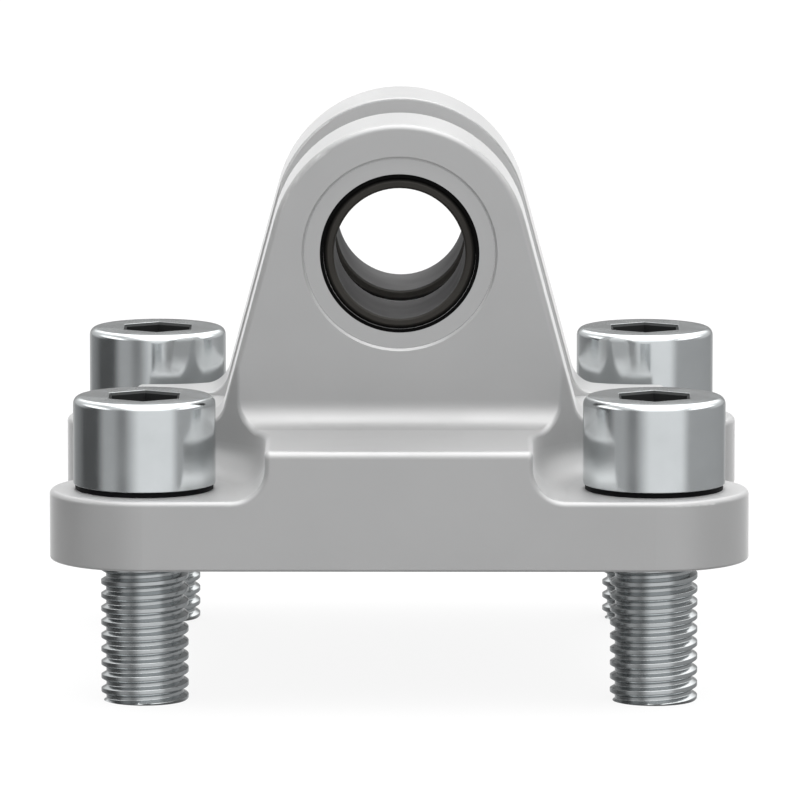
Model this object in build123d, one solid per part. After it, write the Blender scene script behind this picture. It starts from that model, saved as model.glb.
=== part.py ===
from build123d import *
import math
import os

# Swivel flange for the rear end of a pneumatic cylinder.
# A cast body carries two ears with a plain bush in each, and four cap screws hold it down.
# Lengths are in millimetres. Z points up, and the mounting face is at Z = 0.
# The pivot axis runs along Y, and the origin is the middle of the mounting face.

os.makedirs("parts", exist_ok=True)

# Base plate
screw_spacing = 46.5
lobe_radius = 8.65
pad_thickness = 6.4
ridge_height = 11.0
waist_width = 50.0
waist_corner_radius = 3.0

# Pockets that clear the screw heads
pocket_radius = 11.1
pocket_floor_radius = 3.0

# Ears
pivot_height = 27.0
ear_radius = 11.9
ear_taper = 15.0
ears_width = 32.0
slot_width = 12.0
slot_floor_drop = 0.25
flank_foot_radius = 2.2
ear_foot_radius = 2.4

# Bore of the ears and its bushes
pivot_diameter = 12.0
bush_wall = 1.0
bush_length = 12.0
bush_mouth_chamfer = 0.2
bush_end_chamfer = 0.4
spot_face_diameter = 17.6
spot_face_depth = 0.3
spot_face_chamfer = 0.2
bore_chamfer = 0.3

# Centring recess under the base
recess_diameter = 40.0
recess_depth = 4.5
recess_chamfer = 0.3

# Socket head cap screws
thread_diameter = 8.0
screw_length = 20.0
thread_end_chamfer = 0.3
neck_diameter = 7.2
head_diameter = 13.0
head_height = 8.0
head_edge_radius = 0.5
head_foot_chamfer = 0.2
socket_flats = 6.0
socket_depth = 4.0
socket_mouth_chamfer = 0.25
screw_hole_clearance = 0.5

# Washers under the screw heads
washer_diameter = 12.6
washer_thickness = 0.5
washer_bore_clearance = 0.2

# Rounded edges of the casting
edge_radius = 0.5
slot_edge_radius = 0.2
ridge_edge_radius = 0.7
base_edge_radius = 0.25

# Sizes that follow from the ones above
screw_offset = screw_spacing / 2
base_half = screw_offset + lobe_radius
waist_half = waist_width / 2
pocket_wall = screw_offset - pocket_radius
body_top = pivot_height + ear_radius
ear_face = ears_width / 2
bush_radius = pivot_diameter / 2 + bush_wall
bush_outer_end = ear_face - spot_face_depth
screw_hole_radius = thread_diameter / 2 + screw_hole_clearance
washer_bore_radius = thread_diameter / 2 + washer_bore_clearance
head_seat = pad_thickness + washer_thickness

# Places of the screws, as a sign on X and a sign on Y
SCREWS = {
    "front_left": (-1, -1),
    "front_right": (1, -1),
    "rear_left": (-1, 1),
    "rear_right": (1, 1),
}
EARS = {"front": -1, "rear": 1}
SNAP = 0.01


def at(value, size):
    """True where the value lies at the size, on either side of the middle."""
    return abs(abs(value) - size) < SNAP


def base_outline():
    """Plan of the base: a lobe about each screw, straight ends and a waist on each side."""
    end_middle = screw_offset + lobe_radius / 2
    with BuildSketch() as plan:
        Rectangle(waist_width, screw_spacing)
        with Locations((0, end_middle), (0, -end_middle)):
            Rectangle(screw_spacing, lobe_radius)
        with GridLocations(screw_spacing, screw_spacing, 2, 2):
            Circle(lobe_radius)
        fillet(plan.vertices().filter_by(lambda v: at(v.X, waist_half)), waist_corner_radius)
    return plan.sketch


def base_block():
    """The base up to the top of its ridges, before the pockets are cut."""
    block = extrude(base_outline(), ridge_height)
    block = fillet(block.faces().sort_by(Axis.Z)[0].edges(), base_edge_radius)
    return fillet(block.faces().sort_by(Axis.Z)[-1].edges(), ridge_edge_radius)


def ear_outline():
    """Front view of an ear: a round top and tapered flanks, which end in a curved foot."""
    lean = math.radians(ear_taper)
    touch_x = ear_radius * math.cos(lean)
    touch_z = pivot_height + ear_radius * math.sin(lean)
    foot_x = touch_x + (touch_z - ridge_height) * math.tan(lean)
    toe_x = foot_x + 2 * flank_foot_radius
    right = [(touch_x, touch_z), (foot_x, ridge_height), (toe_x, ridge_height), (toe_x, pad_thickness)]
    left = [(-x, z) for x, z in reversed(right)]
    with BuildSketch(Plane.XZ) as front:
        with BuildLine():
            Polyline(*right, *left)
            ThreePointArc(left[-1], (0, body_top), right[0])
        make_face()
        fillet(front.vertices().filter_by(lambda v: at(v.X, foot_x)), flank_foot_radius)
    return front.sketch


def slot_block():
    """The space between the ears, which runs out over both side ridges."""
    block = Box(2 * base_half, slot_width, body_top, align=(Align.CENTER, Align.CENTER, Align.MIN))
    return Pos(0, 0, ridge_height - slot_floor_drop) * block


def crown_edges(solid, y):
    """The round edges over the top of the ears that lie in one plane on Y."""
    return solid.edges().filter_by(GeomType.CIRCLE).filter_by(
        lambda e: at(e.radius, ear_radius) and at(e.arc_center.Y, y)
    )


def ear_pair():
    """Both ears and the slot between them, with the edges along the slot rounded."""
    block = extrude(ear_outline(), ear_face, both=True) - slot_block()
    return fillet(crown_edges(block, slot_width / 2), slot_edge_radius)


def ear_foot():
    """The hollow curve between the outer face of the rear ear and its ridge, before the pockets end it."""
    with BuildSketch(Plane.YZ) as side:
        with Locations((ear_face, ridge_height)):
            Rectangle(ear_foot_radius, ear_foot_radius, align=(Align.MIN, Align.MIN))
        with Locations((ear_face + ear_foot_radius, ridge_height + ear_foot_radius)):
            Circle(ear_foot_radius, mode=Mode.SUBTRACT)
    return extrude(side.sketch, screw_offset, both=True) & extrude(ear_outline(), base_half, both=True)


def head_pocket():
    """Room for the rear right screw head: two walls, a round corner and a curved foot on the floor."""
    reach = 3 * pocket_radius
    room = Box(reach, reach, body_top, align=(Align.MIN, Align.MIN, Align.MIN))
    corner = room.edges().filter_by(Axis.Z).sort_by(lambda e: e.center().X + e.center().Y)[0]
    room = fillet(corner, pocket_radius)
    floor = room.faces().sort_by(Axis.Z)[0]
    walls = floor.edges().filter_by(lambda e: max(e.center().X, e.center().Y) < 0.9 * reach)
    return Pos(pocket_wall, pocket_wall, pad_thickness) * fillet(walls, pocket_floor_radius)


def in_four_corners(solid):
    """The solid and its mirror images in the other three corners."""
    pair = [solid, mirror(solid, Plane.YZ)]
    return pair + [mirror(each, Plane.XZ) for each in pair]


def casting():
    """The body as cast: base and ears less the pockets, which cut into the flared feet of the ears.

    One round runs on from pad to ridge, up the foot and face of each ear and over its top.
    """
    body = base_block() - slot_block() + ear_pair()
    body += [ear_foot(), mirror(ear_foot(), Plane.XZ)]
    for pocket in in_four_corners(head_pocket()):
        body -= pocket
    pocket_rims = body.edges().filter_by(Axis.Y).filter_by(
        lambda e: at(e.center().X, pocket_wall) and at(e.center().Z, ridge_height)
    )
    return fillet(pocket_rims + crown_edges(body, ear_face), edge_radius)


def flange_body():
    """The machined body: spot faces and bore in the ears, recess and screw holes in the base."""
    body = casting()
    for side in EARS.values():
        face = Plane(origin=(0, side * ear_face, pivot_height), z_dir=(0, -side, 0))
        body -= extrude(face * Circle(spot_face_diameter / 2), spot_face_depth)
        body -= extrude(face * Circle(bush_radius), ear_face)
    rings = body.edges().filter_by(GeomType.CIRCLE)
    spot_rims = rings.filter_by(lambda e: at(e.radius, spot_face_diameter / 2) and at(e.center().Y, ear_face))
    bore_rims = rings.filter_by(lambda e: at(e.radius, bush_radius))
    body = chamfer(bore_rims, bore_chamfer)
    body = chamfer(spot_rims, spot_face_chamfer)
    for sign_x, sign_y in SCREWS.values():
        hole = extrude(Circle(screw_hole_radius), ridge_height)
        body -= Pos(sign_x * screw_offset, sign_y * screw_offset, 0) * hole
    body -= extrude(Circle(recess_diameter / 2), recess_depth)
    recess_rim = body.edges().filter_by(GeomType.CIRCLE).filter_by(
        lambda e: at(e.radius, recess_diameter / 2) and at(e.center().Z, 0)
    )
    return chamfer(recess_rim, recess_chamfer)


def bush(side):
    """A plain bush pressed into one ear, level with the spot face and proud of the slot's wall."""
    outer_end = Plane(origin=(0, side * bush_outer_end, pivot_height), z_dir=(0, -side, 0))
    ring = extrude(outer_end * Circle(bush_radius), bush_length)
    ring = chamfer(ring.edges().filter_by(GeomType.CIRCLE), bush_end_chamfer)
    ring -= extrude(outer_end * Circle(pivot_diameter / 2), bush_length)
    mouths = ring.edges().filter_by(GeomType.CIRCLE).filter_by(lambda e: at(e.radius, pivot_diameter / 2))
    return chamfer(mouths, bush_mouth_chamfer)


def screw():
    """A socket head cap screw on its washer, with its axis on Z and its thread below the mounting face."""
    thread = extrude(Circle(thread_diameter / 2), head_seat - screw_length)
    thread = chamfer(thread.faces().sort_by(Axis.Z)[0].edges(), thread_end_chamfer)
    neck = extrude(Circle(neck_diameter / 2), head_seat)
    head = Pos(0, 0, head_seat) * extrude(Circle(head_diameter / 2), head_height)
    head = fillet(head.faces().sort_by(Axis.Z)[-1].edges(), head_edge_radius)
    head = chamfer(head.faces().sort_by(Axis.Z)[0].edges(), head_foot_chamfer)
    hexagon = RegularPolygon(socket_flats / 2, 6, major_radius=False, rotation=30)
    head_top = Plane.XY.offset(head_seat + head_height)
    head -= extrude(head_top * hexagon, -socket_depth)
    mouth = head.faces().sort_by(Axis.Z)[-1].inner_wires()[0].edges()
    return chamfer(mouth, socket_mouth_chamfer) + neck + thread


def washer():
    """The thin dark washer between a screw head and the floor of its pocket."""
    ring = Circle(washer_diameter / 2) - Circle(washer_bore_radius)
    return Pos(0, 0, pad_thickness) * extrude(ring, washer_thickness)


export_step(flange_body(), "parts/flange_body.step")
for ear_name, ear_side in EARS.items():
    export_step(bush(ear_side), f"parts/{ear_name}_bush.step")
for place, (sign_x, sign_y) in SCREWS.items():
    axis = Pos(sign_x * screw_offset, sign_y * screw_offset, 0)
    export_step(axis * screw(), f"parts/{place}_screw.step")
    export_step(axis * washer(), f"parts/{place}_washer.step")
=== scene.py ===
"""Looks of the swivel flange: its finishes, its cap screws with real threads, and the studio around it."""

import math

import bmesh
import bpy
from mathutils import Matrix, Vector


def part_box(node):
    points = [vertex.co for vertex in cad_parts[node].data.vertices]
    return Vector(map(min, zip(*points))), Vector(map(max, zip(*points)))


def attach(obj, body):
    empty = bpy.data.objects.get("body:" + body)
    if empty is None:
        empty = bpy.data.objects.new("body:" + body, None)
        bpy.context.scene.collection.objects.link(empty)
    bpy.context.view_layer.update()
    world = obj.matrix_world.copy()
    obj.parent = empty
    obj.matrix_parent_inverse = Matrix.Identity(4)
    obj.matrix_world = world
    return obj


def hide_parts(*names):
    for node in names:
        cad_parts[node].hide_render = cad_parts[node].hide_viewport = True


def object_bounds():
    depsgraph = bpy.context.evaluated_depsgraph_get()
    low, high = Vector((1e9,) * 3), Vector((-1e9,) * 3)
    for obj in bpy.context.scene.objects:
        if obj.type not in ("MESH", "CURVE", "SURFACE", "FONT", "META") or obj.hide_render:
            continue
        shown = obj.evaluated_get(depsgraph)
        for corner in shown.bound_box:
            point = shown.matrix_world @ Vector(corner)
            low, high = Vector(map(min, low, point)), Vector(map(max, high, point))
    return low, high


bl_info = {
    "name": "Swivel Flange",
    "version": (1, 0, 0),
    "blender": (4, 5, 0),
    "location": "View3D > Sidebar > Swivel Flange",
    "description": "Finishes a swivel flange with its bushes, washers and cap screws",
    "category": "Object",
}

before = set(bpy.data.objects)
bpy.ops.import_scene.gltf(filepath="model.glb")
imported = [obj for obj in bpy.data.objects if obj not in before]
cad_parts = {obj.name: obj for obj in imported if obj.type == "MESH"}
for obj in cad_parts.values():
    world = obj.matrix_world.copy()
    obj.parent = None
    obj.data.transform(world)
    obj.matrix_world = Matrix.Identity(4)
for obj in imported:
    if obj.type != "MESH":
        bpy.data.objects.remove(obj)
CAD_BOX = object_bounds()
MM = 0.001
SNAP = 0.01 * MM

# The four places that hold a screw, and the two ears that carry a bush
SCREWS = ("front_left", "front_right", "rear_left", "rear_right")
EARS = ("front", "rear")

# Height of the pivot axis and radius of its bore in the casting, which the machined rings are centred on
BUSH_LOW, BUSH_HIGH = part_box("front_bush")
PIVOT_HEIGHT = (BUSH_LOW.z + BUSH_HIGH.z) / 2
BORE_RADIUS = (BUSH_HIGH.z - BUSH_LOW.z) / 2


def middle(node):
    """The point halfway between the corners of a CAD node's box."""
    low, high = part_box(node)
    return (low + high) / 2


# Sizes and colours


class CastingSettings(bpy.types.PropertyGroup):
    """Finish of the cast body."""

    colour: bpy.props.FloatVectorProperty(
        name="Aluminium", description="Colour of the blasted casting", subtype="COLOR",
        size=4, min=0, max=1, default=(0.425, 0.425, 0.425, 1),
    )
    roughness: bpy.props.FloatProperty(
        name="Roughness", description="Roughness of the cast skin", subtype="FACTOR", min=0, max=1, default=0.44,
    )
    metal: bpy.props.FloatProperty(
        name="Metal", description="Share of the skin that reflects as bare metal, not as blasted powder",
        subtype="FACTOR", min=0, max=1, default=0.6,
    )
    bloom: bpy.props.FloatProperty(
        name="Bloom", description="How pale the blasted skin turns where it is seen almost edge on",
        subtype="FACTOR", min=0, max=1, default=0.55,
    )
    grain: bpy.props.FloatProperty(
        name="Grain", description="Size of one grain of the blasted skin", subtype="DISTANCE", unit="LENGTH",
        min=0.00005, max=0.002, default=0.00022,
    )


class BushSettings(bpy.types.PropertyGroup):
    """Finish of the plain bushes."""

    colour: bpy.props.FloatVectorProperty(
        name="Liner", description="Colour of the dark bearing compound", subtype="COLOR",
        size=4, min=0, max=1, default=(0.022, 0.020, 0.017, 1),
    )
    # Painted reflection: this lighter colour of the bore stands for the light that it catches
    bore_reflection: bpy.props.FloatVectorProperty(
        name="Running face", description="Colour of the compound where the pin runs", subtype="COLOR",
        size=4, min=0, max=1, default=(0.066, 0.065, 0.066, 1),
    )


class WasherSettings(bpy.types.PropertyGroup):
    """Colour of the black washers, which is painted shade for the dark gap under each head."""

    colour: bpy.props.FloatVectorProperty(
        name="Washer", description="Colour of the black washers", subtype="COLOR",
        size=4, min=0, max=1, default=(0.004, 0.004, 0.0045, 1),
    )


class ScrewSettings(bpy.types.PropertyGroup):
    """Shape and finish of the cap screws."""

    pitch: bpy.props.FloatProperty(
        name="Pitch", description="Rise of the thread in one turn", subtype="DISTANCE", unit="LENGTH",
        min=0.0005, max=0.003, default=0.00125,
    )
    thread_depth: bpy.props.FloatProperty(
        name="Thread depth", description="Depth of the thread below its crest", subtype="DISTANCE", unit="LENGTH",
        min=0.0001, max=0.001, default=0.00046,
    )
    tip_chamfer: bpy.props.FloatProperty(
        name="Tip chamfer", description="How far the tip is taken in", subtype="DISTANCE", unit="LENGTH",
        min=0, max=0.002, default=0.00015,
    )
    rim_round: bpy.props.FloatProperty(
        name="Rim", description="How far in the round over the rim of the head starts", subtype="DISTANCE",
        unit="LENGTH", min=0.0001, max=0.002, default=0.00062,
    )
    rim_stretch: bpy.props.FloatProperty(
        name="Rim stretch", description="Height of that round as a multiple of its width", min=1, max=4, default=1.15,
    )
    socket_chamfer: bpy.props.FloatProperty(
        name="Socket chamfer", description="Chamfer round the mouth of the socket", subtype="DISTANCE",
        unit="LENGTH", min=0.00001, max=0.001, default=0.00025,
    )
    foot_chamfer: bpy.props.FloatProperty(
        name="Foot chamfer", description="Chamfer under the head", subtype="DISTANCE", unit="LENGTH",
        min=0.00001, max=0.001, default=0.00006,
    )
    socket_flats: bpy.props.FloatProperty(
        name="Socket", description="Width of the hexagon socket over its flats", subtype="DISTANCE", unit="LENGTH",
        min=0.002, max=0.01, default=0.006,
    )
    socket_depth: bpy.props.FloatProperty(
        name="Socket depth", description="Depth of the hexagon socket", subtype="DISTANCE", unit="LENGTH",
        min=0.001, max=0.01, default=0.004,
    )
    colour: bpy.props.FloatVectorProperty(
        name="Plating", description="Colour of the zinc plating", subtype="COLOR",
        size=4, min=0, max=1, default=(0.74, 0.77, 0.78, 1),
    )
    roughness: bpy.props.FloatProperty(
        name="Roughness", description="Roughness of the plating", subtype="FACTOR", min=0, max=1, default=0.13,
    )


class StageSettings(bpy.types.PropertyGroup):
    """Camera, floor and light."""

    azimuth: bpy.props.FloatProperty(
        name="Azimuth", description="Where the camera stands round the flange", subtype="ANGLE", unit="ROTATION",
        default=math.radians(0.2325),
    )
    elevation: bpy.props.FloatProperty(
        name="Elevation", description="How far the camera looks down", subtype="ANGLE", unit="ROTATION",
        default=math.radians(8.146),
    )
    distance: bpy.props.FloatProperty(
        name="Distance", description="From the camera to the flange", subtype="DISTANCE", unit="LENGTH",
        default=0.98611,
    )
    lens: bpy.props.FloatProperty(
        name="Lens", description="Focal length on a 36 mm sensor, in millimetres", default=475.33,
    )
    floor_colour: bpy.props.FloatVectorProperty(
        name="Floor", description="Colour of the floor", subtype="COLOR",
        size=4, min=0, max=1, default=(0.10, 0.10, 0.10, 1),
    )


# Shader building


def feed(tree, node, inputs):
    """Gives each named input of a node its value, or a link from the socket that feeds it."""
    for key, value in inputs.items():
        if isinstance(value, bpy.types.NodeSocket):
            tree.links.new(value, node.inputs[key])
        else:
            node.inputs[key].default_value = value


def add_node(tree, kind, inputs=None, **settings):
    """Adds a node. Each input is a value, or the socket that feeds it."""
    made = tree.nodes.new(kind)
    for name, value in settings.items():
        setattr(made, name, value)
    feed(tree, made, inputs or {})
    return made


def maths(tree, operation, first, second=0.0, third=0.0, clamp=False):
    """The output of one Math node."""
    made = add_node(
        tree, "ShaderNodeMath", {0: first, 1: second, 2: third}, operation=operation, use_clamp=clamp
    )
    return made.outputs[0]


def grey(level):
    """An opaque grey of this level."""
    return (level, level, level, 1)


def remap(tree, value, low, high, to_low=0.0, to_high=1.0, smooth=False):
    """The value taken from one range to another, and held at its ends."""
    made = add_node(
        tree, "ShaderNodeMapRange", {0: value, 1: low, 2: high, 3: to_low, 4: to_high},
        interpolation_type="SMOOTHSTEP" if smooth else "LINEAR",
    )
    return made.outputs[0]


def blend_colours(tree, factor, first, second):
    """A colour between the first and the second."""
    made = add_node(tree, "ShaderNodeMix", {0: factor, 6: first, 7: second}, data_type="RGBA")
    return made.outputs[2]


def new_group(name, inputs, outputs):
    """An empty node group with these sockets, and its input and output nodes."""
    tree = bpy.data.node_groups.new(name, "ShaderNodeTree")
    for socket, kind, default in inputs:
        made = tree.interface.new_socket(socket, in_out="INPUT", socket_type=kind)
        if default is not None:
            made.default_value = default
    for socket, kind in outputs:
        tree.interface.new_socket(socket, in_out="OUTPUT", socket_type=kind)
    return tree, tree.nodes.new("NodeGroupInput").outputs, tree.nodes.new("NodeGroupOutput").inputs


def skin_grain_group():
    """Grain of a blasted or moulded skin: a fine height, and a slow drift in tone."""
    tree, given, result = new_group(
        "skin_grain",
        [("Vector", "NodeSocketVector", None), ("Grain", "NodeSocketFloat", 0.0002)],
        [("Height", "NodeSocketFloat"), ("Tone", "NodeSocketFloat")],
    )
    scale = maths(tree, "DIVIDE", 1.0, given["Grain"])
    fine = add_node(
        tree, "ShaderNodeTexNoise", {"Vector": given["Vector"], "Scale": scale, "Detail": 2.0, "Roughness": 0.55}
    )
    pits = add_node(
        tree, "ShaderNodeTexVoronoi",
        {"Vector": given["Vector"], "Scale": maths(tree, "MULTIPLY", scale, 0.6)}, feature="SMOOTH_F1",
    )
    height = maths(tree, "MULTIPLY_ADD", pits.outputs["Distance"], 0.5, fine.outputs["Fac"])
    tree.links.new(height, result["Height"])
    slow = add_node(
        tree, "ShaderNodeTexNoise",
        {"Vector": given["Vector"], "Scale": maths(tree, "MULTIPLY", scale, 0.02), "Detail": 4.0},
    )
    tree.links.new(remap(tree, slow.outputs["Fac"], 0.3, 0.7), result["Tone"])
    return tree


# How well a rounded normal agrees with the real one where the lighter edge, partly wear and partly painted highlight,
# starts, and where it is full
SCUFF_AND_HIGHLIGHT_AGREEMENT = (0.995, 0.86)


def edge_scuffs_and_highlights_group():
    """White along convex and concave edges, from how far a rounded normal leaves the real one: partly wear, partly
    painted highlight.
    """
    tree, given, result = new_group(
        "edge_scuffs_and_highlights", [("Width", "NodeSocketFloat", 0.0002)], [("Mask", "NodeSocketFloat")]
    )
    rounded = add_node(tree, "ShaderNodeBevel", {"Radius": given["Width"]}, samples=4)
    facing = add_node(tree, "ShaderNodeNewGeometry")
    agree = add_node(
        tree, "ShaderNodeVectorMath", {0: rounded.outputs[0], 1: facing.outputs["Normal"]}, operation="DOT_PRODUCT"
    )
    tree.links.new(remap(tree, agree.outputs["Value"], *SCUFF_AND_HIGHLIGHT_AGREEMENT), result["Mask"])
    return tree


def turned_rings_group():
    """Rings that a cutter leaves round an axis, from the distance to that axis."""
    tree, given, result = new_group(
        "turned_rings",
        [("Radius", "NodeSocketFloat", 0.0), ("Spacing", "NodeSocketFloat", 0.0001)],
        [("Height", "NodeSocketFloat")],
    )
    along = maths(tree, "DIVIDE", given["Radius"], given["Spacing"])
    rings = add_node(
        tree, "ShaderNodeTexNoise", {"W": along, "Scale": 1.0, "Detail": 2.0}, noise_dimensions="1D"
    )
    tree.links.new(rings.outputs["Fac"], result["Height"])
    return tree


def handling_group():
    """Faint smudges from hands and packing, as a mask."""
    tree, given, result = new_group(
        "handling_marks",
        [("Vector", "NodeSocketVector", None), ("Size", "NodeSocketFloat", 0.006)],
        [("Mask", "NodeSocketFloat")],
    )
    scale = maths(tree, "DIVIDE", 1.0, given["Size"])
    cloud = add_node(
        tree, "ShaderNodeTexNoise",
        {"Vector": given["Vector"], "Scale": scale, "Detail": 5.0, "Roughness": 0.62, "Distortion": 0.6},
    )
    tree.links.new(remap(tree, cloud.outputs["Fac"], 0.42, 0.68, smooth=True), result["Mask"])
    return tree


NODE_GROUPS = {
    "skin_grain": skin_grain_group,
    "edge_scuffs_and_highlights": edge_scuffs_and_highlights_group,
    "turned_rings": turned_rings_group,
    "handling_marks": handling_group,
}


def place_group(tree, name, inputs):
    """Places a shared node group in a material and returns its outputs. The first one to ask has it built."""
    made = tree.nodes.new("ShaderNodeGroup")
    made.node_tree = bpy.data.node_groups.get(name) or NODE_GROUPS[name]()
    feed(tree, made, inputs)
    return made.outputs


def start_material(name, metallic, colour):
    """A material with its Principled shader, its node tree and the place on the piece."""
    material = bpy.data.materials.new(name)
    material.use_nodes = True
    material.diffuse_color = colour
    tree = material.node_tree
    shader = tree.nodes["Principled BSDF"]
    shader.inputs["Metallic"].default_value = metallic
    place = tree.nodes.new("ShaderNodeTexCoord").outputs["Object"]
    return material, tree, shader, place


def raise_surface(tree, shader, height, strength, distance):
    """Feeds a height through a Bump node into the shader."""
    bump = add_node(tree, "ShaderNodeBump", {"Strength": strength, "Distance": distance, "Height": height})
    tree.links.new(bump.outputs["Normal"], shader.inputs["Normal"])


def tinted(colour, factor):
    """The colour made lighter or darker."""
    return tuple(min(1.0, channel * factor) for channel in colour[:3]) + (1.0,)


def distance_to_axis(tree, first, second):
    """Distance from an axis, from two coordinates across it."""
    return maths(
        tree, "SQRT", maths(tree, "ADD", maths(tree, "MULTIPLY", first, first), maths(tree, "MULTIPLY", second, second))
    )


def distance_to_pivot(tree, axes):
    """Distance from the axis of the pivot, from the three coordinates."""
    return distance_to_axis(tree, axes["X"], maths(tree, "SUBTRACT", axes["Z"], PIVOT_HEIGHT))


# Finishes


# How far the pale bloom of the blasted skin spreads from its edges
BLOOM_ROUGHNESS = 0.35

# Where the cutter has been: widths of the rings round the bore, and places in the frame of the CAD. The groove width
# also bounds the painted shade at the bore's edge, and the slot walls are painted lighter against the shade in the slot
SPOT_FACE_WIDTH = 1.82 * MM
GROOVE_SHADE_WIDTH = 0.32 * MM
SLOT_WALL = 6 * MM
OUTSIDE_SLOT = 6.3 * MM
UNDERSIDE_TOP = 0.03 * MM
RECESS_RADIUS = 20.4 * MM
RECESS_TOP = 4.6 * MM


def casting_material(settings):
    """Blasted cast aluminium, with cut faces at the bore, on the mounting face and in the recess. The groove at the
    bore's edge is painted shade, the slot walls are painted lighter, and the lighter edges are partly wear and partly
    painted highlight.
    """
    material, tree, shader, place = start_material("cast_aluminium_skin", settings.metal, settings.colour)
    shader.inputs["Sheen Weight"].default_value = settings.bloom
    shader.inputs["Sheen Roughness"].default_value = BLOOM_ROUGHNESS
    skin = place_group(tree, "skin_grain", {"Vector": place, "Grain": settings.grain})
    edges = place_group(tree, "edge_scuffs_and_highlights", {"Width": 0.25 * MM})
    marks = place_group(tree, "handling_marks", {"Vector": place, "Size": 9 * MM})
    axes = add_node(tree, "ShaderNodeSeparateXYZ", {0: place}).outputs
    pivot_radius = distance_to_pivot(tree, axes)
    centre_radius = distance_to_axis(tree, axes["X"], axes["Y"])
    from_slot = maths(tree, "ABSOLUTE", axes["Y"])
    near_bore = maths(tree, "LESS_THAN", pivot_radius, BORE_RADIUS + SPOT_FACE_WIDTH)
    not_slot = maths(tree, "GREATER_THAN", from_slot, OUTSIDE_SLOT)
    spot_face = maths(tree, "MULTIPLY", near_bore, not_slot)
    under = maths(tree, "LESS_THAN", axes["Z"], UNDERSIDE_TOP)
    recess = maths(
        tree, "MULTIPLY",
        maths(tree, "LESS_THAN", centre_radius, RECESS_RADIUS), maths(tree, "LESS_THAN", axes["Z"], RECESS_TOP),
    )
    underside = maths(tree, "MAXIMUM", under, recess)
    cut = maths(tree, "MAXIMUM", spot_face, underside)
    ring_radius = add_node(tree, "ShaderNodeMix", {0: underside, 2: pivot_radius, 3: centre_radius}).outputs[0]
    rings = place_group(tree, "turned_rings", {"Radius": ring_radius, "Spacing": 0.12 * MM})
    tone = blend_colours(tree, skin["Tone"], tinted(settings.colour, 0.965), tinted(settings.colour, 1.02))
    # Lighter edges: partly wear, partly painted highlight
    scuffed_and_highlit = blend_colours(tree, maths(tree, "MULTIPLY", edges["Mask"], 0.5), tone, tinted(settings.colour, 1.12))
    # Painted light: the walls of the slot are painted lighter, against the shade that falls in the slot
    slot_wall_lightened = maths(tree, "COMPARE", from_slot, SLOT_WALL, SNAP)
    scuffed_and_highlit = blend_colours(tree, slot_wall_lightened, scuffed_and_highlit, tinted(settings.colour, 1.4))
    # Painted shade: the groove at the bore's edge is painted near black, and made fully metallic and rougher so that it
    # stays dark
    groove = maths(tree, "LESS_THAN", pivot_radius, BORE_RADIUS + GROOVE_SHADE_WIDTH)
    groove = maths(tree, "MULTIPLY", groove, not_slot)
    with_groove_shade = blend_colours(tree, groove, scuffed_and_highlit, tinted(settings.colour, 0.015))
    tree.links.new(with_groove_shade, shader.inputs["Base Color"])
    tree.links.new(maths(tree, "MAXIMUM", groove, settings.metal), shader.inputs["Metallic"])
    rough = maths(tree, "MULTIPLY_ADD", skin["Tone"], 0.05, settings.roughness - 0.02)
    rough = maths(tree, "MULTIPLY_ADD", marks["Mask"], 0.04, rough)
    rough = maths(tree, "MULTIPLY_ADD", edges["Mask"], -0.08, rough)
    rough = maths(tree, "MULTIPLY_ADD", cut, -0.12, rough)
    rough = maths(tree, "MULTIPLY_ADD", groove, 0.5, rough, clamp=True)
    tree.links.new(rough, shader.inputs["Roughness"])
    height = add_node(tree, "ShaderNodeMix", {0: cut, 2: skin["Height"], 3: rings["Height"]}).outputs[0]
    raise_surface(tree, shader, height, strength=0.35, distance=0.012 * MM)
    return material


# Inside the bore's radius: where the pin runs, which carries a painted reflection, and where the painted shade of the
# groove at the outer edge starts and ends
RUNNING_DEPTH = 0.95 * MM
BUSH_GROOVE_SHADE = (0.42 * MM, 0.12 * MM)


def bush_material(settings):
    """Dark bearing compound, with a painted reflection on the bore where the pin runs, painted shade at the outer edge
    of each end, and lighter edges that are partly wear and partly painted highlight.
    """
    material, tree, shader, place = start_material("bush_compound", 0.0, settings.colour)
    skin = place_group(tree, "skin_grain", {"Vector": place, "Grain": 0.12 * MM})
    edges = place_group(tree, "edge_scuffs_and_highlights", {"Width": 0.12 * MM})
    axes = add_node(tree, "ShaderNodeSeparateXYZ", {0: place}).outputs
    radius = distance_to_pivot(tree, axes)
    # Painted reflection: the bore is painted lighter than the ends, and made a little rougher
    bore_reflection = maths(tree, "LESS_THAN", radius, BORE_RADIUS - RUNNING_DEPTH)
    tone = blend_colours(tree, skin["Tone"], tinted(settings.colour, 0.75), tinted(settings.colour, 1.25))
    with_bore_reflection = blend_colours(tree, bore_reflection, tone, settings.bore_reflection)
    # Lighter edges: partly wear, partly painted highlight
    scuffed_and_highlit = blend_colours(tree, maths(tree, "MULTIPLY", edges["Mask"], 0.2), with_bore_reflection, tinted(settings.colour, 2.4))
    # Painted shade: the outer edge of each end is painted darker, and made rougher
    groove = remap(tree, radius, *(BORE_RADIUS - depth for depth in BUSH_GROOVE_SHADE), smooth=True)
    dark = blend_colours(tree, groove, scuffed_and_highlit, tinted(settings.colour, 0.12))
    tree.links.new(dark, shader.inputs["Base Color"])
    shader.inputs["Specular IOR Level"].default_value = 0.25
    rough = maths(tree, "MULTIPLY_ADD", bore_reflection, 0.1, maths(tree, "MULTIPLY_ADD", skin["Tone"], 0.12, 0.40))
    rough = maths(tree, "MULTIPLY_ADD", groove, 0.45, rough, clamp=True)
    tree.links.new(rough, shader.inputs["Roughness"])
    raise_surface(tree, shader, skin["Height"], strength=0.25, distance=0.006 * MM)
    return material


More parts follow.
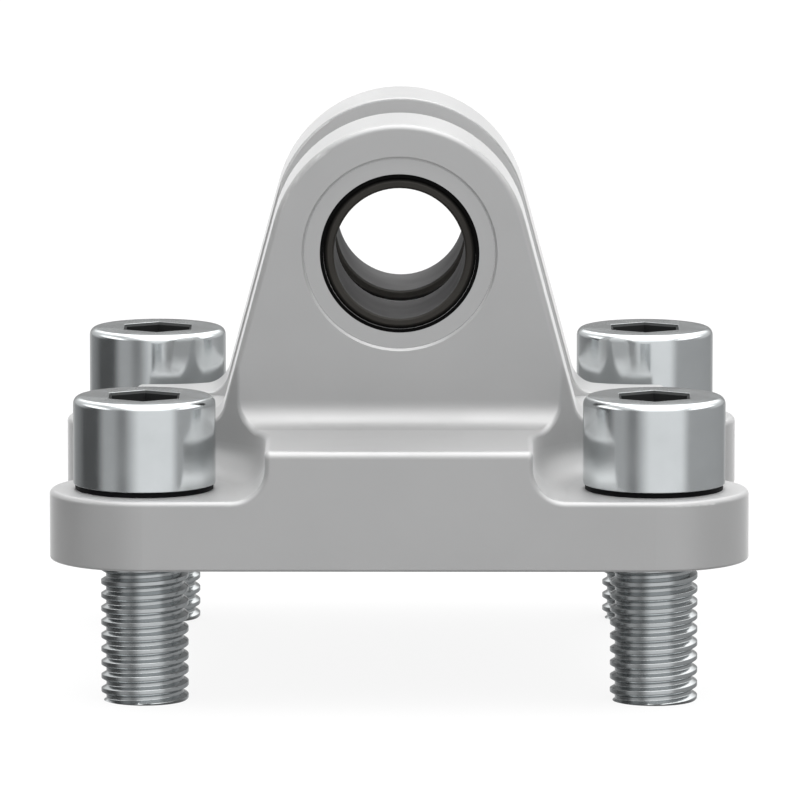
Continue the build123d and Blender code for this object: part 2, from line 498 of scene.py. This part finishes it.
def washer_material(settings):
    """Near-black with almost no gloss: painted shade for the dark gap under each head. The lighter edges are partly
    wear and partly painted highlight.
    """
    material, tree, shader, place = start_material("washer_shade_black", 0.0, settings.colour)
    # Painted shade: so little gloss that each washer reads as the dark gap under its head
    shader.inputs["Specular IOR Level"].default_value = 0.06
    skin = place_group(tree, "skin_grain", {"Vector": place, "Grain": 0.15 * MM})
    edges = place_group(tree, "edge_scuffs_and_highlights", {"Width": 0.08 * MM})
    tone = blend_colours(tree, skin["Tone"], tinted(settings.colour, 0.8), tinted(settings.colour, 1.5))
    # Lighter edges: partly wear, partly painted highlight
    scuffed_and_highlit = blend_colours(tree, maths(tree, "MULTIPLY", edges["Mask"], 0.3), tone, (0.05, 0.05, 0.055, 1))
    tree.links.new(scuffed_and_highlit, shader.inputs["Base Color"])
    tree.links.new(maths(tree, "MULTIPLY_ADD", skin["Tone"], 0.15, 0.45), shader.inputs["Roughness"])
    raise_surface(tree, shader, skin["Height"], strength=0.2, distance=0.005 * MM)
    return material


# Share of the light that the plating keeps where it is seen almost edge on
PLATING_GRAZE = 0.8

# Where the shade of the socket sets in: how far past its mouth, how far under the top, and above what heights
SOCKET_MARGIN = 0.05 * MM
SOCKET_SHADE = (0.004 * MM, 0.03 * MM)
SOCKET_LOWEST = (7 * MM, 8 * MM)

# Heights between which the painted shade of the thread sets in
THREAD_SHADE = (0.6 * MM, 0.0)


def socket_corner(settings):
    """How far the corners of the hexagon socket lie from its axis."""
    return settings.socket_flats / 2 / math.cos(math.pi / 6)


def plating_material(settings, name, axis, top):
    """Bright zinc plating over a forged head and a thread formed by rolling, on a screw that stands on this axis. The
    thread and the socket carry painted shade, and the lighter edges are partly wear and partly painted highlight.
    """
    material, tree, shader, place = start_material(name, 1.0, settings.colour)
    shader.inputs["Specular Tint"].default_value = grey(PLATING_GRAZE)
    centred = add_node(
        tree, "ShaderNodeMapping", {"Vector": place, "Location": (-axis.x, -axis.y, 0)}, vector_type="POINT"
    ).outputs[0]
    skin = place_group(tree, "skin_grain", {"Vector": centred, "Grain": 0.09 * MM})
    edges = place_group(tree, "edge_scuffs_and_highlights", {"Width": 0.12 * MM})
    marks = place_group(tree, "handling_marks", {"Vector": centred, "Size": 5 * MM})
    axes = add_node(tree, "ShaderNodeSeparateXYZ", {0: centred}).outputs
    radius = distance_to_axis(tree, axes["X"], axes["Y"])
    rings = place_group(tree, "turned_rings", {"Radius": radius, "Spacing": 0.07 * MM})
    tone = blend_colours(tree, skin["Tone"], tinted(settings.colour, 0.95), tinted(settings.colour, 1.03))
    # Lighter edges: partly wear, partly painted highlight
    scuffed_and_highlit = blend_colours(tree, maths(tree, "MULTIPLY", edges["Mask"], 0.35), tone, tinted(settings.colour, 1.15))
    # Painted shade: the socket is painted near black, and made rougher
    mouth = socket_corner(settings) + settings.socket_chamfer
    inside = maths(tree, "LESS_THAN", radius, mouth + SOCKET_MARGIN)
    sunk = remap(tree, axes["Z"], *(top - depth for depth in SOCKET_SHADE))
    in_head = remap(tree, axes["Z"], *SOCKET_LOWEST)
    socket = maths(tree, "MULTIPLY", maths(tree, "MULTIPLY", inside, sunk), in_head)
    # Painted shade: the thread is painted darker than the head, and made a little rougher
    shaded_thread = remap(tree, axes["Z"], *THREAD_SHADE)
    threaded = blend_colours(tree, shaded_thread, scuffed_and_highlit, tinted(settings.colour, 0.77))
    shaded = blend_colours(tree, socket, threaded, tinted(settings.colour, 0.07))
    tree.links.new(shaded, shader.inputs["Base Color"])
    rough = maths(tree, "MULTIPLY_ADD", marks["Mask"], 0.05, settings.roughness)
    rough = maths(tree, "MULTIPLY_ADD", skin["Tone"], 0.03, rough)
    rough = maths(tree, "MULTIPLY_ADD", socket, 0.5, rough)
    rough = maths(tree, "MULTIPLY_ADD", shaded_thread, 0.05, rough)
    tree.links.new(rough, shader.inputs["Roughness"])
    height = maths(tree, "MULTIPLY_ADD", rings["Height"], 0.6, skin["Height"])
    raise_surface(tree, shader, height, strength=0.08, distance=0.003 * MM)
    return material


def give_finish(piece, material):
    """The material in place of whatever the piece had."""
    if piece.data.materials:
        piece.data.materials[0] = material
    else:
        piece.data.materials.append(material)


# Cap screws

# One turn of the thread, from root to root: how far along the pitch, and how far up to the crest
THREAD_FORM = (
    (0.00, 0.00), (0.09, 0.00), (0.115, 0.02), (0.15, 0.11), (0.325, 0.90), (0.355, 0.98), (0.38, 1.00),
    (0.62, 1.00), (0.645, 0.98), (0.675, 0.90), (0.85, 0.11), (0.885, 0.02), (0.91, 0.00),
)
# How much higher the first crest stands than a whole turn from the tip, as a share of the pitch
THREAD_LEAD = 0.22
CREST_RADIUS = 4 * MM

# The thread runs out inside the base, and a shoulder leads on to the neck
THREAD_TOP = 0.5 * MM
SHOULDER_HEIGHT = 0.4 * MM
NECK_RADIUS = 3.6 * MM

# Drill hole at the bottom of the socket: its radius as a share of the flats, and its cone
DRILL_SHARE = 0.46
CONE_DEPTH = 0.7 * MM
CONE_TIP = 0.6 * MM

# How finely the screws are divided. Each side of the socket is cut so that its mouth has as many steps as the head
TURN_STEPS = 96
SOCKET_CUTS = TURN_STEPS // 6 - 1
RIM_SEGMENTS = 6
RIM_LIFT = 8 * MM
MERGE_DISTANCE = 0.0005 * MM
SHARP_ANGLE = math.radians(32)


def edges_at(verts):
    """The edges that meet at these vertices, each one once and in a fixed order."""
    return list(dict.fromkeys(edge for vert in verts for edge in vert.link_edges))


def open_rim(mesh, height):
    """The edges with one face or none that lie at this height."""
    return [
        edge for edge in mesh.edges
        if len(edge.link_faces) < 2 and all(abs(vert.co.z - height) < SNAP for vert in edge.verts)
    ]


def draw_out(mesh, edges, height, radius=None):
    """Extrudes a rim to another height, onto a circle of this radius where one is given."""
    drawn = bmesh.ops.extrude_edge_only(mesh, edges=edges)["geom"]
    for vert in (item for item in drawn if isinstance(item, bmesh.types.BMVert)):
        vert.co.z = height
        if radius is not None:
            vert.co.xy = vert.co.xy.normalized() * radius
    return [item for item in drawn if isinstance(item, bmesh.types.BMEdge) and len(item.link_faces) == 1]


def join_rims(mesh, fixed, lifted):
    """Bridges two rims at one height. One is lifted meanwhile, as level rims can be joined the wrong way round."""
    verts = {vert for edge in lifted for vert in edge.verts}
    for vert in verts:
        vert.co.z += RIM_LIFT
    bmesh.ops.bridge_loops(mesh, edges=fixed + lifted)
    for vert in verts:
        vert.co.z -= RIM_LIFT


def cut_thread(mesh, settings, tip, top):
    """A helical thread between two heights, open at its top and closed at its tip."""
    root = CREST_RADIUS - settings.thread_depth
    turns = math.ceil((top - tip) / settings.pitch) + 3
    start = tip - (2 - THREAD_LEAD) * settings.pitch
    points = [(turn + along, up) for turn in range(turns) for along, up in THREAD_FORM] + [(turns, 0.0)]
    chain = [
        mesh.verts.new((-(root + settings.thread_depth * up), 0, start + settings.pitch * along))
        for along, up in points
    ]
    edges = [mesh.edges.new(pair) for pair in zip(chain, chain[1:])]
    bmesh.ops.spin(
        mesh, geom=chain + edges, cent=(0, 0, 0), axis=(0, 0, 1),
        dvec=(0, 0, settings.pitch / TURN_STEPS), angle=math.tau, steps=TURN_STEPS,
        use_merge=False, use_duplicate=False,
    )
    bmesh.ops.remove_doubles(mesh, verts=mesh.verts, dist=2 * MERGE_DISTANCE)
    for height, below in ((tip, True), (top, False)):
        bmesh.ops.bisect_plane(
            mesh, geom=mesh.verts[:] + mesh.edges[:] + mesh.faces[:], dist=MERGE_DISTANCE,
            plane_co=(0, 0, height), plane_no=(0, 0, 1), clear_inner=below, clear_outer=not below,
        )
    for vert in mesh.verts:
        limit = CREST_RADIUS - settings.tip_chamfer + (vert.co.z - tip)
        if vert.co.xy.length > limit:
            vert.co.xy = vert.co.xy.normalized() * limit
    bmesh.ops.holes_fill(mesh, edges=open_rim(mesh, tip))


def form_head(mesh, settings, radius, seat, top, neck_rim):
    """The head with its hexagon socket, joined to the rim of the neck. Returns its foot, rim and mouth."""
    disc = bmesh.ops.create_circle(mesh, cap_ends=False, segments=TURN_STEPS, radius=radius)["verts"]
    ring = edges_at(disc)
    for vert in disc:
        vert.co.z = seat
    join_rims(mesh, neck_rim, ring)
    upper = draw_out(mesh, ring, top)
    corner = socket_corner(settings)
    hexagon = bmesh.ops.create_circle(mesh, cap_ends=False, segments=6, radius=corner)["verts"]
    for vert in hexagon:
        vert.co.z = top
    sides = edges_at(hexagon)
    bmesh.ops.subdivide_edges(mesh, edges=sides, cuts=SOCKET_CUTS)
    mouth = [
        edge for edge in mesh.edges
        if not edge.link_faces and abs(edge.verts[0].co.z - top) < SNAP
    ]
    join_rims(mesh, upper, mouth)
    floor_height = top - settings.socket_depth
    floor_rim = draw_out(mesh, mouth, floor_height)
    drill_rim = draw_out(mesh, floor_rim, floor_height, settings.socket_flats * DRILL_SHARE)
    cone_rim = draw_out(mesh, drill_rim, floor_height - CONE_DEPTH, CONE_TIP)
    bmesh.ops.holes_fill(mesh, edges=cone_rim)
    return ring, upper, mouth


def build_screw(settings, place):
    """One cap screw as a closed mesh, cut to the length and seat that the CAD gives it."""
    low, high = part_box(f"{place}_screw")
    axis = middle(f"{place}_screw")
    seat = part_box(f"{place}_washer")[1].z
    head_radius = (high.x - low.x) / 2
    mesh = bmesh.new()
    cut_thread(mesh, settings, low.z, THREAD_TOP)
    shoulder = draw_out(mesh, open_rim(mesh, THREAD_TOP), THREAD_TOP + SHOULDER_HEIGHT, NECK_RADIUS)
    neck_rim = draw_out(mesh, shoulder, seat)
    foot, rim, mouth = form_head(mesh, settings, head_radius, seat, high.z, neck_rim)
    for edges, offset, segments in (
        (rim, settings.rim_round, RIM_SEGMENTS),
        (foot, settings.foot_chamfer, 1),
        (mouth, settings.socket_chamfer, 1),
    ):
        bmesh.ops.bevel(
            mesh, geom=[edge for edge in edges if edge.is_valid], offset=offset, offset_type="OFFSET",
            segments=segments, profile=0.5, affect="EDGES", material=-1, clamp_overlap=True,
        )
    for vert in mesh.verts:
        below = high.z - vert.co.z
        if vert.co.xy.length > head_radius - settings.rim_round - SNAP and below < settings.rim_round + SNAP:
            vert.co.z = high.z - below * settings.rim_stretch
    bmesh.ops.remove_doubles(mesh, verts=mesh.verts, dist=MERGE_DISTANCE)
    bmesh.ops.recalc_face_normals(mesh, faces=mesh.faces)
    for face in mesh.faces:
        face.smooth = True
    for edge in mesh.edges:
        edge.smooth = not edge.is_manifold or edge.calc_face_angle(0) < SHARP_ANGLE
    bmesh.ops.translate(mesh, verts=mesh.verts, vec=(axis.x, axis.y, 0))
    return mesh, axis


def add_piece(name, mesh):
    """Puts a finished bmesh into the scene as an object at the origin."""
    data = bpy.data.meshes.new(name)
    mesh.to_mesh(data)
    mesh.free()
    piece = bpy.data.objects.new(name, data)
    bpy.context.scene.collection.objects.link(piece)
    return piece


# Studio

# Walls of the light tent: from and to, in degrees round from the camera to its right, and the level
TENT_WALLS = (
    ("rear left", -180, -160, 0.50),
    ("left slope", -142, -140, 0.30),
    ("left shade", -126, -125, 0.20),
    ("left flag", -111, -80, 0.085),
    ("left card", -66, -50, 0.40),
    ("front flag", -38, -31, 0.24),
    ("front softbox", -8, 44, 0.82),
    ("right wall", 57, 155, 0.38),
    ("rear right", 178, 180, 0.46),
)
WALL_TINT = (1.0, 1.006, 1.014)
TENT_RADIUS = 1.6

# All that follows is in shares of the tent's radius. Rise is height, away is distance behind the part, beside is
# distance to its right or left, and each pair says where an effect starts and where it is full.

# Bright top. It leans towards the rear, and dims on both sides of a line a little right of the middle.
TOP_LEVEL = 2.5
TOP_RISE = (0.20, 0.80)
TOP_LEAN = 0.06
TOP_MIDDLE = 0.12
TOP_DIMMING = (0.35, 0.7)
TOP_DIMMEST = 0.25

# Brightest part, right above
ZENITH_LEVEL = 3.3
ZENITH_RISE = (0.80, 0.94)

# One lamp high up at each side
SIDE_LEVEL = 2.0
SIDE_BESIDE = (0.72, 0.86)
SIDE_FOOT_RISE = (0.26, 0.40)
SIDE_HEAD_RISE = (0.76, 0.62)

# Fill light behind the part, which dims on both sides
FILL_LEVEL = 1.3
FILL_RISE = (0.0, 0.12)
FILL_AWAY = (0.0, 0.55)
FILL_DIMMING = (0.30, 0.52)
FILL_DIMMEST = 0.3

# Plain wall right behind the part, brighter at its foot
REAR_AWAY = (0.80, 0.95)
REAR_RISE = (0.40, 0.26)
REAR_WALL_LEVEL = 0.38
REAR_FOOT_LEVEL = 0.62
REAR_FOOT_RISE = (0.02, -0.04)

# Dim base, below the part
BASE_LEVEL = 0.15
BASE_RISE = (math.sin(math.radians(-18)), math.sin(math.radians(-40)))


def wall_ramp(tree, share):
    """The levels of the walls all round, from a share of the full turn."""
    ramp = add_node(tree, "ShaderNodeValToRGB", {0: share})
    stops = ramp.color_ramp.elements
    stops.remove(stops[-1])
    for _, start, end, level in TENT_WALLS:
        for angle in (start, end):
            position = (angle + 180) / 360
            stop = stops.new(position) if position > 0 else stops[0]
            stop.color = tuple(level * channel for channel in WALL_TINT) + (1,)
    return ramp.outputs[0]


def tent_material():
    """Lit cloth of the tent: walls of several levels, a bright top, side lamps, a fill behind and a dim base."""
    material = bpy.data.materials.new("tent_cloth")
    material.use_nodes = True
    tree = material.node_tree
    tree.nodes.remove(tree.nodes["Principled BSDF"])
    place = add_node(tree, "ShaderNodeTexCoord").outputs["Object"]
    axes = add_node(tree, "ShaderNodeSeparateXYZ", {0: place}).outputs
    turn = maths(tree, "ARCTAN2", axes["X"], maths(tree, "MULTIPLY", axes["Y"], -1.0))
    walls = wall_ramp(tree, remap(tree, turn, -math.pi, math.pi))
    right, away, rise = (maths(tree, "DIVIDE", axes[axis], TENT_RADIUS) for axis in "XYZ")
    beside = maths(tree, "ABSOLUTE", right)

    fill = maths(
        tree, "MULTIPLY", remap(tree, rise, *FILL_RISE, smooth=True), remap(tree, away, *FILL_AWAY, smooth=True)
    )
    fill = maths(tree, "MULTIPLY", fill, remap(tree, beside, *FILL_DIMMING, 1.0, FILL_DIMMEST, smooth=True))
    walls = blend_colours(tree, fill, walls, grey(FILL_LEVEL))
    walls = blend_colours(tree, remap(tree, rise, *BASE_RISE, smooth=True), walls, grey(BASE_LEVEL))

    leaning = maths(tree, "MULTIPLY_ADD", away, TOP_LEAN, rise)
    off_middle = maths(tree, "ABSOLUTE", maths(tree, "SUBTRACT", right, TOP_MIDDLE))
    reach = remap(tree, off_middle, *TOP_DIMMING, 1.0, TOP_DIMMEST, smooth=True)
    top = maths(tree, "MULTIPLY", remap(tree, leaning, *TOP_RISE, smooth=True), reach)
    cloth = blend_colours(tree, top, walls, grey(TOP_LEVEL))

    side = remap(tree, beside, *SIDE_BESIDE, smooth=True)
    for limits in (SIDE_FOOT_RISE, SIDE_HEAD_RISE):
        side = maths(tree, "MULTIPLY", side, remap(tree, rise, *limits, smooth=True))
    cloth = blend_colours(tree, side, cloth, grey(SIDE_LEVEL))

    zenith = maths(tree, "MULTIPLY", remap(tree, rise, *ZENITH_RISE, smooth=True), reach)
    cloth = blend_colours(tree, zenith, cloth, grey(ZENITH_LEVEL))

    glow = remap(tree, rise, *REAR_FOOT_RISE, REAR_WALL_LEVEL, REAR_FOOT_LEVEL)
    rear = add_node(tree, "ShaderNodeCombineColor", {0: glow, 1: glow, 2: glow}).outputs[0]
    behind = remap(tree, away, *REAR_AWAY, smooth=True)
    behind = maths(tree, "MULTIPLY", behind, remap(tree, rise, *REAR_RISE, smooth=True))
    cloth = blend_colours(tree, behind, cloth, rear)

    light = add_node(tree, "ShaderNodeEmission", {"Color": cloth, "Strength": 1.0})
    tree.links.new(light.outputs[0], tree.nodes["Material Output"].inputs["Surface"])
    material.cycles.emission_sampling = "NONE"
    return material


# Size of the floor, the glow that lifts it to near white, and the level of the world around it
FLOOR_RADIUS = 3.0
FLOOR_GLOW = 0.89
WORLD_LEVEL = 0.8


def floor_material(settings):
    """A pale floor that meets the white background and keeps a soft shadow of the part."""
    material, _, shader, _ = start_material("studio_floor", 0.0, settings.floor_colour)
    shader.inputs["Base Color"].default_value = settings.floor_colour
    shader.inputs["Roughness"].default_value = 0.9
    shader.inputs["Specular IOR Level"].default_value = 0.0
    shader.inputs["Emission Color"].default_value = grey(1)
    shader.inputs["Emission Strength"].default_value = FLOOR_GLOW
    return material


def white_world():
    """White wherever the camera, or a reflection, sees past the studio."""
    world = bpy.data.worlds.new("studio_world")
    world.use_nodes = True
    world.cycles.sampling_method = "NONE"
    bpy.context.scene.world = world
    tree = world.node_tree
    paths = add_node(tree, "ShaderNodeLightPath").outputs
    seen = maths(tree, "MAXIMUM", paths["Is Camera Ray"], paths["Is Glossy Ray"])
    seen = maths(tree, "MAXIMUM", seen, paths["Is Transmission Ray"])
    soft = tree.nodes["Background"]
    soft.inputs["Color"].default_value = grey(WORLD_LEVEL)
    white = add_node(tree, "ShaderNodeBackground", {"Color": grey(1), "Strength": 1.0})
    both = add_node(tree, "ShaderNodeMixShader", {0: seen, 1: soft.outputs[0], 2: white.outputs[0]})
    tree.links.new(both.outputs[0], tree.nodes["World Output"].inputs["Surface"])


# The point that the camera looks at, and the sensor that its focal length belongs to
CAMERA_TARGET = Vector((-0.024 * MM, 0, 11.185 * MM))
SENSOR_WIDTH = 36


def add_camera(settings):
    """The camera at the photograph's angle."""
    flat = math.cos(settings.elevation)
    back = Vector((
        math.sin(settings.azimuth) * flat, -math.cos(settings.azimuth) * flat, math.sin(settings.elevation)
    ))
    data = bpy.data.cameras.new("camera")
    data.lens = settings.lens
    data.sensor_width = SENSOR_WIDTH
    data.clip_start = 0.01
    data.clip_end = 20
    camera = bpy.data.objects.new("camera", data)
    bpy.context.scene.collection.objects.link(camera)
    camera.location = CAMERA_TARGET + back * settings.distance
    camera.rotation_euler = (-back).to_track_quat("-Z", "Y").to_euler()
    bpy.context.scene.camera = camera


# Operators


class FLANGE_OT_stage(bpy.types.Operator):
    """Sets up the floor, the light tent, the white background and the camera"""

    bl_idname = "flange.stage"
    bl_label = "Set Up Stage"

    def execute(self, context):
        settings = context.scene.flange_stage
        view = context.scene.view_settings
        view.view_transform = "Standard"
        white_world()
        mesh = bmesh.new()
        bmesh.ops.create_circle(mesh, cap_ends=True, segments=128, radius=FLOOR_RADIUS)
        bmesh.ops.translate(mesh, verts=mesh.verts, vec=(0, 0, CAD_BOX[0].z))
        floor = add_piece("studio_floor", mesh)
        give_finish(floor, floor_material(settings))
        floor.visible_glossy = False
        mesh = bmesh.new()
        bmesh.ops.create_uvsphere(mesh, u_segments=24, v_segments=12, radius=TENT_RADIUS)
        tent = add_piece("light_tent", mesh)
        give_finish(tent, tent_material())
        tent.visible_camera = False
        add_camera(settings)
        return {"FINISHED"}


class FLANGE_OT_casting(bpy.types.Operator):
    """Gives the cast body its blasted skin and its cut faces"""

    bl_idname = "flange.casting"
    bl_label = "Finish Casting"

    def execute(self, context):
        give_finish(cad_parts["flange_body"], casting_material(context.scene.flange_casting))
        return {"FINISHED"}


class FLANGE_OT_bushes(bpy.types.Operator):
    """Gives both bushes their dark bearing compound"""

    bl_idname = "flange.bushes"
    bl_label = "Finish Bushes"

    def execute(self, context):
        material = bush_material(context.scene.flange_bushes)
        for ear in EARS:
            give_finish(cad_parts[f"{ear}_bush"], material)
        return {"FINISHED"}


class FLANGE_OT_washers(bpy.types.Operator):
    """Gives the four washers their matte black"""

    bl_idname = "flange.washers"
    bl_label = "Finish Washers"

    def execute(self, context):
        material = washer_material(context.scene.flange_washers)
        for place in SCREWS:
            give_finish(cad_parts[f"{place}_washer"], material)
        return {"FINISHED"}


class FLANGE_OT_screws(bpy.types.Operator):
    """Builds the four cap screws with their threads and sockets"""

    bl_idname = "flange.screws"
    bl_label = "Build Screws"

    def execute(self, context):
        settings = context.scene.flange_screws
        for place in SCREWS:
            mesh, axis = build_screw(settings, place)
            piece = add_piece(f"{place}_cap_screw", mesh)
            give_finish(piece, plating_material(settings, f"{place}_plating", axis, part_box(f"{place}_screw")[1].z))
            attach(piece, "root")
            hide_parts(f"{place}_screw")
        return {"FINISHED"}


class FLANGE_PT_panel(bpy.types.Panel):
    """Lists the steps that dress the flange"""

    bl_idname = "FLANGE_PT_panel"
    bl_label = "Swivel Flange"
    bl_space_type = "VIEW_3D"
    bl_region_type = "UI"
    bl_category = "Swivel Flange"

    def draw(self, context):
        for operator, group in STEPS:
            box = self.layout.box()
            box.operator(operator.bl_idname)
            settings = getattr(context.scene, group)
            for name in settings.bl_rna.properties.keys():
                if name not in ("rna_type", "name"):
                    box.prop(settings, name)


GROUPS = {
    "flange_stage": StageSettings,
    "flange_casting": CastingSettings,
    "flange_bushes": BushSettings,
    "flange_washers": WasherSettings,
    "flange_screws": ScrewSettings,
}
STEPS = (
    (FLANGE_OT_stage, "flange_stage"),
    (FLANGE_OT_casting, "flange_casting"),
    (FLANGE_OT_bushes, "flange_bushes"),
    (FLANGE_OT_washers, "flange_washers"),
    (FLANGE_OT_screws, "flange_screws"),
)
CLASSES = (*GROUPS.values(), *(operator for operator, _ in STEPS), FLANGE_PT_panel)


def register():
    """Registers the classes and hangs the settings on the scene."""
    for each in CLASSES:
        bpy.utils.register_class(each)
    for name, group in GROUPS.items():
        setattr(bpy.types.Scene, name, bpy.props.PointerProperty(type=group))


def unregister():
    """Takes the settings and the classes away again."""
    for name in GROUPS:
        delattr(bpy.types.Scene, name)
    for each in reversed(CLASSES):
        bpy.utils.unregister_class(each)


def main():
    """Runs every step in order."""
    register()
    bpy.ops.flange.stage()
    bpy.ops.flange.casting()
    bpy.ops.flange.bushes()
    bpy.ops.flange.washers()
    bpy.ops.flange.screws()
    bpy.context.view_layer.update()


if __name__ == "__main__":
    main()
